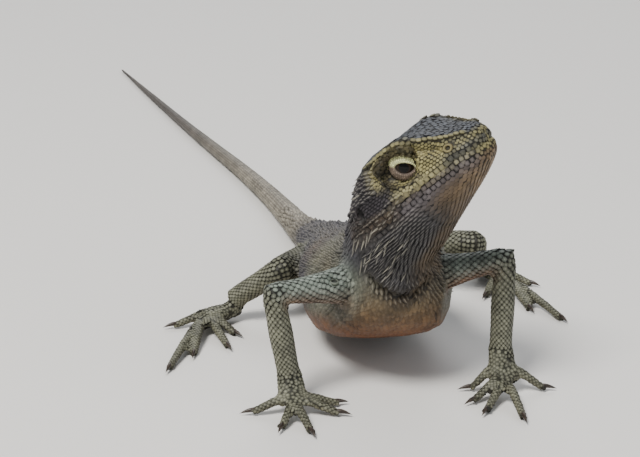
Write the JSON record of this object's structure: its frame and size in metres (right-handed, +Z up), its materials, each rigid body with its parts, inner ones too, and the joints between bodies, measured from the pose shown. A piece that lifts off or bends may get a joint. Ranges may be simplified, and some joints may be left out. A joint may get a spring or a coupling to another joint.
{
  "type": "bearded dragon lizard figure",
  "caption": "Life-size bearded dragon standing on spread forelegs with its head raised and turned, hips and long tail on the floor.",
  "frame": {"origin": "middle of the footprint's bounding box, on the floor that the animal rests on", "axes": "+Z up, -Y the way that the trunk faces, +Y along the body to the tip of the tail, +X the animal's left"},
  "size_m": [0.0918, 0.3154, 0.058],
  "materials": {
    "hide_head": "matte, small rough plates",
    "hide_throat": "matte, long keeled scales",
    "hide_body": "matte, keeled scales",
    "hide_leg": "matte, keeled diamond scales",
    "hide_tail": "matte, keeled scales in rings",
    "eye": "wet gloss",
    "claw": "satin horn"
  },
  "bodies": {
    "root": {"head": "hide_head", "lower_jaw": "hide_throat", "neck": "hide_body", "chest": "hide_body", "belly": "hide_body", "hips": "hide_body", "tail_base": "hide_tail", "tail_fore": "hide_tail", "tail_middle": "hide_tail", "tail_rear": "hide_tail", "tail_tip": "hide_tail", "eye_left": "eye", "upper_arm_left": "hide_leg", "forearm_left": "hide_leg", "hand_left": "hide_leg", "thigh_left": "hide_leg", "shin_left": "hide_leg", "foot_left": "hide_leg", "claw_hand_left_1": "claw", "claw_hand_left_2": "claw", "claw_hand_left_3": "claw", "claw_hand_left_4": "claw", "claw_hand_left_5": "claw", "claw_foot_left_1": "claw", "claw_foot_left_2": "claw", "claw_foot_left_3": "claw", "claw_foot_left_4": "claw", "claw_foot_left_5": "claw", "eye_right": "eye", "upper_arm_right": "hide_leg", "forearm_right": "hide_leg", "hand_right": "hide_leg", "thigh_right": "hide_leg", "shin_right": "hide_leg", "foot_right": "hide_leg", "claw_hand_right_1": "claw", "claw_hand_right_2": "claw", "claw_hand_right_3": "claw", "claw_hand_right_4": "claw", "claw_hand_right_5": "claw", "claw_foot_right_1": "claw", "claw_foot_right_2": "claw", "claw_foot_right_3": "claw", "claw_foot_right_4": "claw", "claw_foot_right_5": "claw"}
  },
  "joints": []
}
